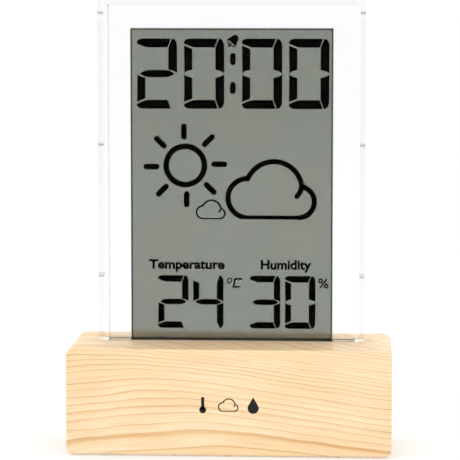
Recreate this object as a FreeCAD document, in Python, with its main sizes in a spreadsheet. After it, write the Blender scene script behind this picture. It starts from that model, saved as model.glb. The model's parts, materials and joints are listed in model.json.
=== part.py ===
"""Home weather station: a clear liquid crystal display standing in a wood-look base.

Millimetres, +Z up. The origin lies on the table under the middle of the base. The display faces -Y,
and the battery door, the buttons and the vents are on the +Y side.
"""
import FreeCAD, Part
import math
import os
import re

import Sketcher
from FreeCAD import Placement, Rotation, Vector

SIZES = {
    # wood-look base
    "base_width": 110, "base_depth": 40, "base_height": 36, "base_wall": 2,
    "top_corner": 3, "bottom_corner": 2, "side_round": 2.4, "edge_round": 0.5, "cavity_corner": 1.2,
    "pip_height": 0.5, "pip_radius": 0.7, "pip_pitch": 18.4, "pip_end": 49.6, "pip_row": 18.4,
    # clear housing: two nested shells whose tail sits in the base
    "housing_width": 91.2, "housing_front": -0.5, "housing_depth": 8, "housing_top": 154.9,
    "tail_bottom": 28.5, "tail_half": 42.3, "shoulder_gap": 0.05, "housing_corner": 4,
    "nest_corner": 2.1, "pane": 1.8, "outer_wall": 1.85,
    "inner_wall": 1.35, "nest_gap": 0.05, "slot_gap": 0.1, "rib_thick": 1.4, "rib_bottom": 29.5,
    "tab_first": 58.4, "tab_pitch": 45, "tab_tall": 0.8, "tab_front": 2.5, "tab_back": 6.5, "tab_gap": 0.06,
    # display stack
    "glass_width": 68.1, "glass_top": 143.05, "band_width": 0.65, "film": 0.2, "glass": 1.07,
    "layer_gap": 0.02, "stack_front": 1.9, "glass_bottom": 30, "ledge": 3, "film_bottom": 37.2,
    "cradle_top": 36.4, "cradle_gap": 0.05,
    "ribbon_left": 15, "ribbon_wide": 12, "ribbon_thick": 0.15, "ribbon_gap": 0.6,
    "ribbon_end_gap": 0.3, "ribbon_bend_top": 26.2, "ribbon_foot": 3.2,
    # clamp bar under the tail
    "clamp_half": 52, "clamp_front": -5, "clamp_back": 4, "clamp_thick": 1.6, "clamp_screw_x": 49.3,
    "clamp_screw_y": 2, "clamp_boss": 2.2,
    # rear cover and its screws
    "cover_inset": 1, "cover_thick": 2, "cover_gap": 0.15, "cover_screw_x": 49.6, "cover_screw_low": 6.2,
    "cover_screw_high": 30.6, "cover_boss": 2.4, "cover_boss_front": 8, "sink_radius": 2.1, "sink_deep": 1,
    "screw_radius": 1, "screw_gap": 0.1, "head_radius": 1.9, "head_tall": 1, "cross_long": 2.2,
    "cross_wide": 0.5, "cross_deep": 0.6, "screw_long": 8, "short_screw": 5.5,
    # battery compartment, moulded on the cover
    "box_left": -43.5, "box_right": 7.5, "box_low": 4.9, "box_high": 27, "box_floor": 5.3, "box_wall": 1,
    "opening_high": 27.7, "cell_radius": 5.25, "cell_long": 44.5, "cell_y": 11, "cell_low": 10.6,
    "cell_high": 21.4, "nub_radius": 1.9, "nub_long": 1, "cell_edge": 0.6,
    "plate": 0.4, "plate_front": 6, "plate_back": 15.2, "plate_tall": 9, "dimple": 0.4, "dimple_radius": 1.5,
    "spring_radius": 3.2, "wire_radius": 0.3, "spring_turns": 4, "tag_front": 2.4, "tag_half": 1,
    # battery door
    "door_gap": 0.3, "door_thick": 1.7, "hinge_y": 17.4, "hinge_z": 6.8, "barrel_radius": 1.6,
    "pin_radius": 0.8, "pin_long": 1.4, "pin_fit": 0.05, "bore_deep": 1.5, "lug_thick": 2.6,
    "lug_front": 15.2, "lug_high": 9.4, "latch_x": -18, "latch_half": 3, "latch_long": 2.8,
    "latch_low": 25.7, "latch_tall": 0.7, "dimple_z": 22.4, "grip_radius": 3.4, "grip_deep": 0.7,
    # circuit board
    "board_left": 9.6, "board_right": 51.1, "board_low": 9, "board_high": 28, "board_front": 9,
    "board_thick": 1.2, "board_boss": 2, "board_screw_radius": 0.8, "board_head": 1.7,
    "board_screw_left": 12.5, "board_screw_right": 48.5, "board_screw_low": 11.5,
    "board_screw_middle": 30.5, "board_screw_high": 17.6,
    # buttons and their switches
    "button_first": 14, "button_pitch": 8, "button_z": 24, "cap_wide": 6, "cap_tall": 5, "cap_gap": 0.2,
    "cap_corner": 0.9, "cap_edge": 0.35, "cap_back": 19.9, "flange_front": 15.6, "flange_back": 16.8,
    "flange_lip": 0.7, "stem_radius": 1.5, "stem_front": 14.9, "switch_wide": 6, "switch_tall": 3.5,
    "plunger_radius": 1.7, "plunger_fit": 0.1, "plunger_front": 12.9, "well_deep": 1.5,
    # holes in the cover
    "vent_first": 33, "vent_pitch": 2.2, "vent_wide": 1.1, "vent_low": 8, "vent_high": 16.5,
    "sound_x": 20.5, "sound_z": 14.2, "sound_pitch": 2.6, "sound_radius": 0.6,
    # parts on the board
    "sensor_x": 38.5, "sensor_z": 12.2, "sensor_wide": 3, "sensor_tall": 1, "sensor_port": 0.6,
    "buzzer_radius": 4.5, "buzzer_tall": 4.5, "buzzer_mouth": 1.1,
    "blob_x": 41, "blob_z": 18, "blob_radius": 4.5, "blob_tall": 1.4,
    "crystal_x": 18, "crystal_z": 13.6, "crystal_radius": 1, "crystal_long": 6,
    "capacitor_x": 33, "capacitor_z": 11.4, "capacitor_radius": 2, "capacitor_long": 6,
    "lead_radius": 0.5, "lead_x": 13, "lead_out": 3, "lead_back": 2, "red_fall": 0.6, "black_rise": 5,
}

# Faces that many pieces share, as formulas of the sizes.
BASE_TOP = "(pip_height + base_height)"
CAVITY_LOW = "(pip_height + base_wall)"
CAVITY_HIGH = "(pip_height + base_height - base_wall)"
CAVITY_HALF = "(base_width / 2 - base_wall)"
COVER_OUT = "(base_depth / 2 - cover_inset)"
COVER_IN = "(base_depth / 2 - cover_inset - cover_thick)"
BOARD_BACK = "(board_front + board_thick)"
SWITCH_BACK = "(board_front + board_thick + switch_tall)"
PANE_BACK = "(housing_front + pane)"
HOUSING_BACK = "(housing_front + housing_depth)"
NEST_HALF = "(housing_width / 2 - outer_wall - nest_gap)"
NEST_TOP = "(housing_top - outer_wall - nest_gap)"
CLAMP_BOTTOM = "(tail_bottom - clamp_thick)"

STACK_DEPTH = "(2 * film + 2 * glass + 3 * layer_gap)"

BUTTONS = ("set", "up", "down", "alarm", "unit")
BOARD_SCREWS = (("board_screw_left", "board_screw_low"), ("board_screw_right", "board_screw_low"),
                ("board_screw_middle", "board_screw_high"))
TABS = 3
VENTS = 6
SPRING_CORNERS = 8
AXES = {"X": Vector(1, 0, 0), "Y": Vector(0, 1, 0), "Z": Vector(0, 0, 1)}

doc = FreeCAD.newDocument("weather_station")
nodes = []


def make_sheet():
    """Every driving dimension has its own named cell."""
    cells = doc.addObject("Spreadsheet::Sheet", "dims")
    for row, (name, value) in enumerate(SIZES.items(), start=1):
        cells.set("A%d" % row, name)
        cells.set("B%d" % row, str(value))
        cells.setAlias("B%d" % row, name)
    doc.recompute()
    return cells


sheet = make_sheet()


def formula(text):
    """Points each name in a formula at its cell."""
    return re.sub(r"[a-z][a-z_]+", lambda word: "dims." + word.group(0), str(text))


def size(name):
    return float(getattr(sheet, name))


def node(piece):
    """Marks a finished sub-part, which gets a file under its own label."""
    nodes.append(piece)
    return piece


# Primitives and booleans

def place(piece, x, y, z):
    for axis, value in zip("xyz", (x, y, z)):
        piece.setExpression("Placement.Base." + axis, formula(value))


def block(label, x, y, z):
    """A box given by the low and high side on each axis."""
    box = doc.addObject("Part::Box", label)
    place(box, x[0], y[0], z[0])
    for side, (low, high) in zip(("Length", "Width", "Height"), (x, y, z)):
        box.setExpression(side, formula("(%s) - (%s)" % (high, low)))
    return box


def rod(label, axis, start, radius, length):
    """A cylinder that runs from its start towards the positive end of an axis."""
    cylinder = doc.addObject("Part::Cylinder", label)
    cylinder.Placement = Placement(Vector(), Rotation(AXES["Z"], AXES[axis]))
    place(cylinder, *start)
    cylinder.setExpression("Radius", formula(radius))
    cylinder.setExpression("Height", formula(length))
    return cylinder


def fuse(label, pieces):
    whole = doc.addObject("Part::MultiFuse", label)
    whole.Shapes = pieces
    return whole


def cut(label, solid, tools):
    rest = doc.addObject("Part::Cut", label)
    rest.Base = solid
    rest.Tool = tools[0] if len(tools) == 1 else fuse(label + "_tools", tools)
    return rest


def group(label, pieces):
    """Several equal solids in one sub-part."""
    whole = doc.addObject("Part::Compound", label)
    whole.Links = pieces
    return whole


def rounded(label, solid, radius_of_edge):
    """Rounds the edges of a solid; the rule gives each edge's radius, or None for a sharp one."""
    doc.recompute()
    soft = doc.addObject("Part::Fillet", label)
    soft.Base = solid
    chosen = []
    for number, edge in enumerate(solid.Shape.Edges, start=1):
        radius = radius_of_edge(edge.CenterOfMass, edge.tangentAt(edge.FirstParameter))
        if radius:
            chosen.append((number, radius, radius))
    soft.Edges = chosen
    return soft


# Sketches and the features made from them

def new_body(label):
    return doc.addObject("PartDesign::Body", label)


def sketch(body, role, offset):
    plane = next(item for item in body.Origin.OriginFeatures if item.Role == role)
    flat = body.newObject("Sketcher::SketchObject", body.Label + "_sketch")
    flat.AttachmentSupport = [(plane, "")]
    flat.MapMode = "FlatFace"
    flat.setExpression("AttachmentOffset.Base.z", formula(offset))
    return flat


def upright(body, y):
    """A sketch parallel to the front of the station: its axes are X and Z."""
    return sketch(body, "XZ_Plane", "-(%s)" % y)


def sideways(body, x):
    """A sketch parallel to the ends of the station: its axes are Y and Z."""
    return sketch(body, "YZ_Plane", x)


def pin_down(flat, kind, geometry, point, value):
    """Holds one coordinate of a sketch point at a formula's value."""
    number = flat.addConstraint(Sketcher.Constraint(kind, -1, 1, geometry, point, 1))
    flat.setExpression("Constraints[%d]" % number, formula(value))


def rectangle(flat, left, right, low, high):
    corners = [Vector(-1, -1), Vector(1, -1), Vector(1, 1), Vector(-1, 1)]
    first = flat.GeometryCount
    for start, end in zip(corners, corners[1:] + corners[:1]):
        flat.addGeometry(Part.LineSegment(start, end), False)
    for side in range(4):
        follower = first + (side + 1) % 4
        flat.addConstraint(Sketcher.Constraint("Coincident", first + side, 2, follower, 1))
        lie = "Vertical" if side % 2 else "Horizontal"
        flat.addConstraint(Sketcher.Constraint(lie, first + side))
    pin_down(flat, "DistanceX", first, 1, left)
    pin_down(flat, "DistanceX", first, 2, right)
    pin_down(flat, "DistanceY", first, 1, low)
    pin_down(flat, "DistanceY", first + 2, 1, high)
    return flat


def circle(flat, across, up, radius):
    number = flat.addGeometry(Part.Circle(Vector(1, 1), AXES["Z"], 1), False)
    pin_down(flat, "DistanceX", number, 3, across)
    pin_down(flat, "DistanceY", number, 3, up)
    ring = flat.addConstraint(Sketcher.Constraint("Radius", number, 1))
    flat.setExpression("Constraints[%d]" % ring, formula(radius))
    return flat


def pad(body, flat, length, backwards=True):
    """Adds material; an upright sketch grows towards +Y when it is padded backwards."""
    grown = body.newObject("PartDesign::Pad", body.Label + "_pad")
    grown.Profile = flat
    grown.Reversed = backwards
    grown.setExpression("Length", formula(length))
    return grown


def pocket(body, flat, length, backwards=False):
    """Removes material; an upright sketch cuts towards +Y unless it is reversed."""
    doc.recompute()
    before = body.Shape.Volume
    hollow = body.newObject("PartDesign::Pocket", body.Label + "_pocket")
    hollow.Profile = flat
    hollow.Reversed = backwards
    hollow.setExpression("Length", formula(length))
    doc.recompute()
    if body.Shape.Volume >= before:
        raise ValueError("a pocket in %s removes nothing" % body.Label)
    return hollow


def soften(body, radius, wanted):
    """Rounds the edges whose middle and direction pass a test."""
    doc.recompute()
    base = body.Tip
    names = []
    for number, edge in enumerate(base.Shape.Edges, start=1):
        if wanted(edge.CenterOfMass, edge.tangentAt(edge.FirstParameter)):
            names.append("Edge%d" % number)
    soft = body.newObject("PartDesign::Fillet", body.Label + "_fillet")
    soft.Base = (base, names)
    soft.setExpression("Radius", formula(radius))
    return soft


def slab(label, left, right, low, high, front, thick):
    """A flat rectangular body that stands parallel to the front of the station."""
    body = new_body(label)
    pad(body, rectangle(upright(body, front), left, right, low, high), thick)
    return body


def along_depth(middle, direction):
    return abs(direction.y) > 0.9


# Base

def base_shell():
    """A box open at the back, with moulded pips, bosses, and a slot for the display."""
    half_width = size("base_width") / 2
    middle_height = size("pip_height") + size("base_height") / 2

    def outer_radius(middle, direction):
        if abs(direction.z) > 0.9 and middle.y < 0:
            return size("side_round")
        if abs(direction.y) > 0.9:
            return size("top_corner") if middle.z > middle_height else size("bottom_corner")
        return size("edge_round")

    def cavity_radius(middle, direction):
        return size("cavity_corner") if abs(direction.y) > 0.9 else None

    outer = block("base_block", ("-base_width / 2", "base_width / 2"),
                  ("-base_depth / 2", "base_depth / 2"), ("pip_height", BASE_TOP))
    cavity = block("base_cavity", ("-" + CAVITY_HALF, CAVITY_HALF),
                   ("-base_depth / 2 + base_wall", "base_depth / 2 + base_wall"),
                   (CAVITY_LOW, CAVITY_HIGH))
    hull = cut("base_hull", rounded("base_rounded", outer, outer_radius),
               [rounded("cavity_rounded", cavity, cavity_radius)])

    additions = []
    right_of_middle = ("pip_pitch", "2 * pip_pitch", "pip_end")
    for row in ("-pip_row", "pip_row"):
        for column in ("0", *right_of_middle, *("-(%s)" % column for column in right_of_middle)):
            additions.append(rod("pip", "Z", (column, row, "0"), "pip_radius",
                                 "pip_height + base_wall / 2"))
    ribs = (("housing_front - slot_gap - rib_thick", "housing_front - slot_gap"),
            (HOUSING_BACK + " + slot_gap", HOUSING_BACK + " + slot_gap + rib_thick"))
    for depth in ribs:
        additions.append(block("slot_rib", ("-tail_half", "tail_half"), depth,
                               ("rib_bottom", CAVITY_HIGH + " + base_wall / 2")))
    slot = block("display_slot",
                 ("-tail_half - slot_gap", "tail_half + slot_gap"),
                 ("housing_front - slot_gap", HOUSING_BACK + " + slot_gap"),
                 ("tail_bottom", BASE_TOP + " + base_wall"))
    removals = [slot]
    for side in ("", "-"):
        clamp_x = side + "clamp_screw_x"
        cover_x = side + "cover_screw_x"
        additions.append(rod("clamp_post", "Z", (clamp_x, "clamp_screw_y", "tail_bottom"),
                             "clamp_boss", CAVITY_HIGH + " + base_wall / 2 - tail_bottom"))
        removals.append(rod("clamp_pilot", "Z", (clamp_x, "clamp_screw_y", "tail_bottom"),
                            "screw_radius", "short_screw"))
        for level in ("cover_screw_low", "cover_screw_high"):
            additions.append(rod("cover_post", "Y", (cover_x, "cover_boss_front", level),
                                 "cover_boss", COVER_IN + " - cover_boss_front"))
            removals.append(rod("cover_pilot", "Y", (cover_x, "cover_boss_front", level),
                                "screw_radius", COVER_IN + " - cover_boss_front"))
            outward = ("cover_screw_x", CAVITY_HALF + " + base_wall / 2")
            if side:
                outward = ("-%s - base_wall / 2" % CAVITY_HALF, "-cover_screw_x")
            additions.append(block("post_web", outward, ("cover_boss_front", COVER_IN),
                                   (level + " - base_wall / 2", level + " + base_wall / 2")))
    filled = fuse("base_filled", [hull] + additions)
    return node(cut("base_shell", filled, removals))


def display_clamp():
    """The bar that holds the tail of the display up in its slot, notched for the ribbon."""
    body = slab("display_clamp", "-clamp_half", "clamp_half", CLAMP_BOTTOM, "tail_bottom",
                "clamp_front", "clamp_back - clamp_front")
    notch = rectangle(upright(body, PANE_BACK), "ribbon_left - ribbon_gap",
                      "ribbon_left + ribbon_wide + ribbon_gap", CLAMP_BOTTOM + " - clamp_thick",
                      "tail_bottom + clamp_thick")
    pocket(body, notch, "clamp_back")
    holes = sketch(body, "XY_Plane", CLAMP_BOTTOM)
    circle(holes, "clamp_screw_x", "clamp_screw_y", "screw_radius + screw_gap")
    circle(holes, "-clamp_screw_x", "clamp_screw_y", "screw_radius + screw_gap")
    pocket(body, holes, "clamp_thick", backwards=True)
    return node(body)


# Clear housing

def tab_levels():
    return ["tab_first + %d * tab_pitch" % step for step in range(TABS)]


def cut_shoulders(body):
    """Ends the side walls on top of the base, so that only the panes' tail goes into it."""
    corners = upright(body, "housing_front")
    for left, right in (("-housing_width / 2 - outer_wall", "-tail_half"),
                        ("tail_half", "housing_width / 2 + outer_wall")):
        rectangle(corners, left, right, "tail_bottom - outer_wall", BASE_TOP + " + shoulder_gap")
    pocket(body, corners, "housing_depth")


def front_window():
    """The outer clear shell: the front pane with full-depth side and top walls."""
    body = slab("front_window", "-housing_width / 2", "housing_width / 2", "tail_bottom",
                "housing_top", "housing_front", "housing_depth")
    high = size("housing_top") - 1
    soften(body, "housing_corner",
           lambda middle, direction: along_depth(middle, direction) and middle.z > high)
    inside = rectangle(upright(body, PANE_BACK), "-housing_width / 2 + outer_wall",
                       "housing_width / 2 - outer_wall", "tail_bottom - outer_wall",
                       "housing_top - outer_wall")
    pocket(body, inside, "housing_depth")
    inner_high = size("housing_top") - size("outer_wall")
    soften(body, "nest_corner",
           lambda middle, direction: along_depth(middle, direction)
           and abs(middle.z - inner_high) < 0.01)
    for low, high in (("-housing_width / 2 - outer_wall", "-housing_width / 2 + 2 * outer_wall"),
                      ("housing_width / 2 - 2 * outer_wall", "housing_width / 2 + outer_wall")):
        slots = upright(body, "tab_front")
        for level in tab_levels():
            rectangle(slots, low, high, level + " - tab_tall / 2", level + " + tab_tall / 2")
        pocket(body, slots, "tab_back - tab_front")
    cut_shoulders(body)
    return node(body)


def rear_window():
    """The inner clear shell: the rear pane with nested walls and the snap tabs."""
    body = slab("rear_window", "-" + NEST_HALF, NEST_HALF, "tail_bottom", NEST_TOP,
                PANE_BACK + " + nest_gap", "housing_depth - pane - nest_gap")
    high = size("housing_top") - size("outer_wall") - 1
    soften(body, "nest_corner",
           lambda middle, direction: along_depth(middle, direction) and middle.z > high)
    inside = rectangle(upright(body, PANE_BACK + " - pane"), "-%s + inner_wall" % NEST_HALF,
                       NEST_HALF + " - inner_wall", "tail_bottom - inner_wall",
                       NEST_TOP + " - inner_wall")
    pocket(body, inside, "housing_depth - pane")
    tabs = upright(body, "tab_front + tab_gap")
    for left, right in (("-housing_width / 2 + nest_gap", "-%s + inner_wall" % NEST_HALF),
                        (NEST_HALF + " - inner_wall", "housing_width / 2 - nest_gap")):
        for level in tab_levels():
            rectangle(tabs, left, right, level + " - tab_tall / 2 + tab_gap",
                      level + " + tab_tall / 2 - tab_gap")
    pad(body, tabs, "tab_back - tab_front - 2 * tab_gap")
    cut_shoulders(body)
    return node(body)


# Display stack

def display_stack():
    """Film, glass, glass and film, front to back, with a dark band round the edge and over the foot.

    A thin layer of adhesive or liquid crystal lies between each two, and is left open."""
    half = "glass_width / 2"
    front = "stack_front"
    for label, low, thick in (("front_polariser", "film_bottom", "film"),
                              ("lcd_front_glass", "glass_bottom", "glass"),
                              ("lcd_rear_glass", "glass_bottom + ledge", "glass"),
                              ("rear_polariser", "film_bottom", "film")):
        node(slab(label, "-%s + layer_gap" % half, half + " - layer_gap", low, "glass_top - layer_gap",
                  front, thick))
        front = "%s + %s + layer_gap" % (front, thick)
    band = slab("lcd_edge_band", "-%s - band_width" % half, half + " + band_width", "glass_bottom",
                "glass_top + band_width", "stack_front", STACK_DEPTH)
    window = rectangle(upright(band, "stack_front - film"), "-" + half, half,
                       "glass_bottom - band_width", "glass_top")
    pocket(band, window, STACK_DEPTH + " + 2 * film")
    for face in ("stack_front", "stack_front + %s - film" % STACK_DEPTH):
        foot = rectangle(upright(band, face), "-" + half, half, "glass_bottom", "film_bottom - layer_gap")
        pad(band, foot, "film")
    node(band)


def lcd_cradle():
    """The trough in the tail that the lower edge of the display stands in."""
    depth = "%s - %s - pane - 2 * cradle_gap" % (HOUSING_BACK, PANE_BACK)
    body = slab("lcd_cradle", "-tail_half", "tail_half", "tail_bottom", "cradle_top",
                PANE_BACK + " + cradle_gap", depth)
    half = "glass_width / 2 + band_width + cradle_gap"
    trough = rectangle(upright(body, "stack_front - cradle_gap"), "-(%s)" % half, half,
                       "glass_bottom", "cradle_top + ledge")
    pocket(body, trough, STACK_DEPTH + " + 2 * cradle_gap")
    passage = rectangle(upright(body, "stack_front + film"), "ribbon_left - ribbon_gap",
                        "ribbon_left + ribbon_wide + ribbon_gap", "tail_bottom - ledge",
                        "glass_bottom")
    pocket(body, passage, "2 * glass")
    return node(body)


def lcd_ribbon():
    """A flat flexible ribbon: down from the glass, back in an S, and down the board's face."""
    thick = size("ribbon_thick")
    start = size("stack_front") + size("film") + size("layer_gap") + size("glass") + thick / 2
    end = size("board_front") - thick / 2
    bend = (end - start) / 2
    bend_top = size("ribbon_bend_top")
    top = size("glass_bottom") + size("ledge") - size("ribbon_end_gap")
    left = size("ribbon_left")
    low = bend_top - 2 * bend
    foot = low - size("ribbon_foot")

    def edge(offset):
        """One face of the ribbon, offset from its middle towards +Y."""
        upper = Vector(left, start + bend, bend_top)
        lower = Vector(left, start + bend, low)
        slant = Vector(0, -1, -1).normalize()
        mouth = bend - offset
        outlet = bend + offset
        waist = Vector(left, start + bend, bend_top - bend + offset)
        return [
            Part.LineSegment(Vector(left, start + offset, top), Vector(left, start + offset, bend_top)),
            Part.Arc(Vector(left, start + offset, bend_top), upper + slant * mouth,
                     Vector(left, start + bend, bend_top - mouth)),
            Part.Arc(waist, lower - slant * outlet, Vector(left, end + offset, low)),
            Part.LineSegment(Vector(left, end + offset, low), Vector(left, end + offset, foot)),
        ]

    front = [curve.toShape() for curve in edge(-thick / 2)]
    back = [curve.toShape() for curve in edge(thick / 2)]
    caps = [Part.LineSegment(Vector(left, start - thick / 2, top),
                             Vector(left, start + thick / 2, top)).toShape(),
            Part.LineSegment(Vector(left, end - thick / 2, foot),
                             Vector(left, end + thick / 2, foot)).toShape()]
    outline = Part.Wire(Part.__sortEdges__(front + back + caps))
    ribbon = doc.addObject("Part::Feature", "lcd_ribbon")
    ribbon.Shape = Part.Face(outline).extrude(Vector(size("ribbon_wide"), 0, 0))
    return node(ribbon)


# Wires

def round_wire(points, wire_radius):
    """A round solid along straight runs joined by tangent arcs; also its length and bend radii."""
    arc_share = 0.45
    edges = []
    radii = []
    here = points[0]
    for before, corner, after in zip(points, points[1:], points[2:]):
        inward = (corner - before).normalize()
        outward = (after - corner).normalize()
        half_turn = inward.getAngle(outward) / 2
        reach = arc_share * min(corner.distanceToPoint(before), after.distanceToPoint(corner))
        radius = reach / math.tan(half_turn)
        first = corner - inward * reach
        last = corner + outward * reach
        bisector = (outward - inward).normalize()
        middle = corner + bisector * (radius / math.cos(half_turn) - radius)
        edges.append(Part.LineSegment(here, first).toShape())
        edges.append(Part.Arc(first, middle, last).toShape())
        radii.append(radius)
        here = last
    edges.append(Part.LineSegment(here, points[-1]).toShape())
    path = Part.Wire(edges)
    section = Part.Wire(Part.Circle(points[0], points[1] - points[0], wire_radius).toShape())
    return path.makePipeShell([section], True, False), path.Length, radii


# Rear cover, battery compartment and door

def rear_cover():
    """The back panel, with the battery box, board posts, hinge lugs and every opening."""
    body = slab("rear_cover", "-%s + cover_gap" % CAVITY_HALF, CAVITY_HALF + " - cover_gap",
                CAVITY_LOW + " + cover_gap", CAVITY_HIGH + " - cover_gap", COVER_IN, "cover_thick")
    soften(body, "cavity_corner - cover_gap", along_depth)

    box = rectangle(upright(body, "box_floor - box_wall"), "box_left - box_wall",
                    "box_right + box_wall", "box_low - box_wall", "box_high + box_wall")
    pad(body, box, COVER_IN + " - box_floor + box_wall")
    lugs = upright(body, "lug_front")
    rectangle(lugs, "box_left - lug_thick", "box_left", "box_low - box_wall", "lug_high")
    rectangle(lugs, "box_right", "box_right + lug_thick", "box_low - box_wall", "lug_high")
    pad(body, lugs, COVER_IN + " - lug_front")
    posts = upright(body, BOARD_BACK)
    for across, up in BOARD_SCREWS:
        circle(posts, across, up, "board_boss")
    pad(body, posts, COVER_IN + " - " + BOARD_BACK)

    inside = rectangle(upright(body, "box_floor"), "box_left", "box_right", "box_low", "box_high")
    pocket(body, inside, "base_depth / 2 - box_floor")
    opening = rectangle(upright(body, COVER_IN), "box_left", "box_right", "box_low", "opening_high")
    pocket(body, opening, "cover_thick")
    tags = upright(body, "box_floor - box_wall")
    for level in ("cell_low", "cell_high"):
        rectangle(tags, "box_right - 2 * plate", "box_right", level + " - tag_half - plate",
                  level + " + tag_half + plate")
    pocket(body, tags, "box_wall")
    bore = circle(sideways(body, "box_left - bore_deep"), "hinge_y", "hinge_z",
                  "pin_radius + pin_fit")
    pocket(body, bore, "box_right - box_left + 2 * bore_deep", backwards=True)

    pilots = upright(body, BOARD_BACK)
    for across, up in BOARD_SCREWS:
        circle(pilots, across, up, "board_screw_radius")
    pocket(body, pilots, "short_screw - board_thick")
    holes = upright(body, COVER_IN)
    sinks = upright(body, COVER_OUT + " - sink_deep")
    for across in ("cover_screw_x", "-cover_screw_x"):
        for up in ("cover_screw_low", "cover_screw_high"):
            circle(holes, across, up, "screw_radius + screw_gap")
            circle(sinks, across, up, "sink_radius")
    pocket(body, holes, "cover_thick")
    pocket(body, sinks, "sink_deep")

    openings = upright(body, COVER_IN)
    for step in range(len(BUTTONS)):
        middle = "button_first + %d * button_pitch" % step
        rectangle(openings, middle + " - cap_wide / 2 - cap_gap", middle + " + cap_wide / 2 + cap_gap",
                  "button_z - cap_tall / 2 - cap_gap", "button_z + cap_tall / 2 + cap_gap")
    pocket(body, openings, "cover_thick")
    vents = upright(body, COVER_IN)
    for step in range(VENTS):
        left = "vent_first + %d * vent_pitch" % step
        rectangle(vents, left, left + " + vent_wide", "vent_low", "vent_high")
    pocket(body, vents, "cover_thick")
    sound = upright(body, COVER_IN)
    circle(sound, "sound_x", "sound_z", "sound_radius")
    for side in ("-", "+"):
        circle(sound, "sound_x %s sound_pitch" % side, "sound_z", "sound_radius")
        circle(sound, "sound_x", "sound_z %s sound_pitch" % side, "sound_radius")
    pocket(body, sound, "cover_thick")
    return node(body)


def battery_door():
    """A flush door that swings down about two pins at its lower edge."""
    left = "box_left + door_gap"
    right = "box_right - door_gap"
    body = slab("battery_door", left, right, "hinge_z", "opening_high - door_gap",
                COVER_OUT + " - door_thick", "door_thick")
    barrel = circle(sideways(body, left), "hinge_y", "hinge_z", "barrel_radius")
    pad(body, barrel, "box_right - box_left - 2 * door_gap", backwards=False)
    pins = circle(sideways(body, left + " - pin_long"), "hinge_y", "hinge_z", "pin_radius")
    pad(body, pins, "box_right - box_left - 2 * door_gap + 2 * pin_long", backwards=False)
    latch_back = COVER_OUT + " - door_thick"
    latch = rectangle(upright(body, latch_back + " - latch_long"), "latch_x - latch_half",
                      "latch_x + latch_half", "latch_low", "latch_low + latch_tall")
    pad(body, latch, "latch_long + door_thick / 2")
    grip = circle(upright(body, COVER_OUT + " - grip_deep"), "latch_x", "dimple_z", "grip_radius")
    pocket(body, grip, "grip_deep")
    return node(body)


def battery(label, level, nub_tip, towards):
    """One size AAA cell along X; towards is +1 when its raised end points to +X."""
    can_long = "cell_long - nub_long"
    can_start = "%s - cell_long" % nub_tip if towards > 0 else "%s + nub_long" % nub_tip
    nub_start = "%s - nub_long" % nub_tip if towards > 0 else nub_tip
    can = rod(label + "_can", "X", (can_start, "cell_y", level), "cell_radius", can_long)
    soft = rounded(label + "_rounded", can, lambda middle, direction:
                   size("cell_edge") if abs(direction.x) < 0.1 else None)
    nub = rod(label + "_nub", "X", (nub_start, "cell_y", level), "nub_radius", "nub_long")
    return node(fuse(label, [soft, nub]))


def contact_plate(label, x, z, tag_level=None, dimple_level=None, dimple_x=None):
    """A sprung steel plate, with a raised spot for a cell's nub and a tag for a lead."""
    pieces = [block(label + "_plate", x, ("plate_front", "plate_back"), z)]
    if tag_level:
        pieces.append(block(label + "_tag", x, ("tag_front", "plate_front"),
                            (tag_level + " - tag_half", tag_level + " + tag_half")))
    if dimple_level:
        pieces.append(rod(label + "_dimple", "X", (dimple_x, "cell_y", dimple_level),
                          "dimple_radius", "dimple"))
    return node(fuse(label, pieces))


def battery_spring(label, start, rise, level):
    """A compression spring along X between a plate and the flat end of a cell."""
    wire = size("wire_radius")
    corners = int(size("spring_turns")) * SPRING_CORNERS
    step = 2 * math.pi / SPRING_CORNERS
    reach = size("spring_radius") / math.cos(step / 2)
    points = []
    for number in range(corners + 1):
        along = start + wire + (rise - 2 * wire) * number / corners
        points.append(Vector(along, size("cell_y") + reach * math.cos(step * number),
                             level + reach * math.sin(step * number)))
    coil = doc.addObject("Part::Feature", label)
    coil.Shape = round_wire(points, wire)[0]
    return coil


def batteries_and_contacts():
    right_plate = ("box_right - plate", "box_right")
    left_plate = ("box_left", "box_left + plate")
    battery("battery_upper", "cell_high", "(box_right - plate - dimple)", 1)
    battery("battery_lower", "cell_low", "(box_left + plate + dimple)", -1)
    contact_plate("positive_contact", right_plate,
                  ("cell_high - plate_tall / 2", "cell_high + plate_tall / 2"),
                  "cell_high", "cell_high", "box_right - plate - dimple")
    contact_plate("negative_contact", right_plate,
                  ("cell_low - plate_tall / 2", "cell_low + plate_tall / 2"), "cell_low")
    contact_plate("bridge_contact", left_plate,
                  ("cell_low - plate_tall / 2", "cell_high + plate_tall / 2"),
                  None, "cell_low", "box_left + plate")
    free = size("box_right") - size("box_left") - 2 * size("plate") - size("dimple") - size("cell_long")
    left_start = size("box_left") + size("plate")
    right_start = size("box_right") - size("plate") - free
    node(group("battery_springs", [battery_spring("upper_spring", left_start, free, size("cell_high")),
                                   battery_spring("lower_spring", right_start, free, size("cell_low"))]))


# Circuit board and what it carries

def main_board():
    body = slab("main_board", "board_left", "board_right", "board_low", "board_high", "board_front",
                "board_thick")
    holes = upright(body, "board_front")
    for across, up in BOARD_SCREWS:
        circle(holes, across, up, "board_screw_radius + screw_gap")
    pocket(body, holes, "board_thick")
    return node(body)


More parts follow.
